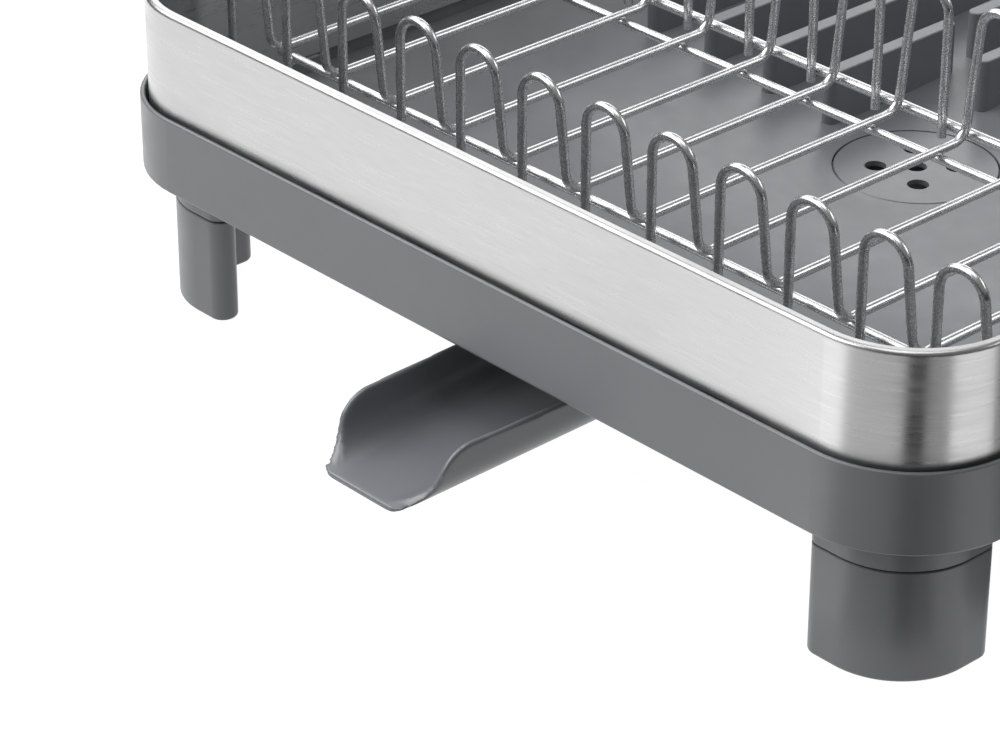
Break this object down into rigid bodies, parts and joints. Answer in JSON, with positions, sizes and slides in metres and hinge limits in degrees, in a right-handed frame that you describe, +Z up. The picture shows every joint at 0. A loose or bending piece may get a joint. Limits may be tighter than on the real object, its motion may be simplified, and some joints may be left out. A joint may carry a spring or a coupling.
{
  "type": "dish drying rack",
  "caption": "Steel wire plate rack in a brushed steel band, lifting out of a ribbed plastic drip tray on corner feet with a swivelling drain spout.",
  "frame": {"origin": "on the floor under the middle of the whole footprint, spout included", "axes": "+Z up; +Y from the low hoops to the open cup bay; the spout points along -Y; +X along the low hoops"},
  "size_m": [0.3658, 0.4502, 0.1313],
  "materials": {
    "tray_plastic": "satin moulded grey",
    "foot_plastic": "satin moulded grey",
    "spout_plastic": "satin moulded grey",
    "ring_plastic": "plain grey",
    "band_steel": "fine horizontal brushing",
    "wire_steel": "polished"
  },
  "bodies": {
    "tray": {"drip_tray": "tray_plastic", "spout_retaining_ring": "ring_plastic", "foot_near_left": "foot_plastic", "foot_near_right": "foot_plastic", "foot_far_left": "foot_plastic", "foot_far_right": "foot_plastic"},
    "rack": {"steel_band": "band_steel", "hoop_wire_01": "wire_steel", "hoop_wire_02": "wire_steel", "hoop_wire_03": "wire_steel", "hoop_wire_04": "wire_steel", "hoop_wire_05": "wire_steel", "hoop_wire_06": "wire_steel", "hoop_wire_07": "wire_steel", "hoop_wire_08": "wire_steel", "hoop_wire_09": "wire_steel", "hoop_wire_10": "wire_steel", "hoop_wire_11": "wire_steel", "end_wire": "wire_steel", "near_long_wire": "wire_steel", "far_long_wire": "wire_steel", "near_support_rod": "wire_steel", "far_support_rod": "wire_steel"},
    "strainer": {"drain_strainer": "tray_plastic"},
    "spout": {"swivel_spout": "spout_plastic"}
  },
  "joints": [
    {"name": "rack_lift", "type": "slide", "parent": "tray", "child": "rack", "axis": [0, 0, 1], "range_m": [0, 0.12]},
    {"name": "strainer_lift", "type": "slide", "parent": "tray", "child": "strainer", "axis": [0, 0, 1], "range_m": [0, 0.03]},
    {"name": "spout_swivel", "type": "hinge", "parent": "tray", "child": "spout", "pos_m": [0, 0.02115, 0.036], "axis": [0, 0, 1], "range_deg": [-27, 27]}
  ]
}
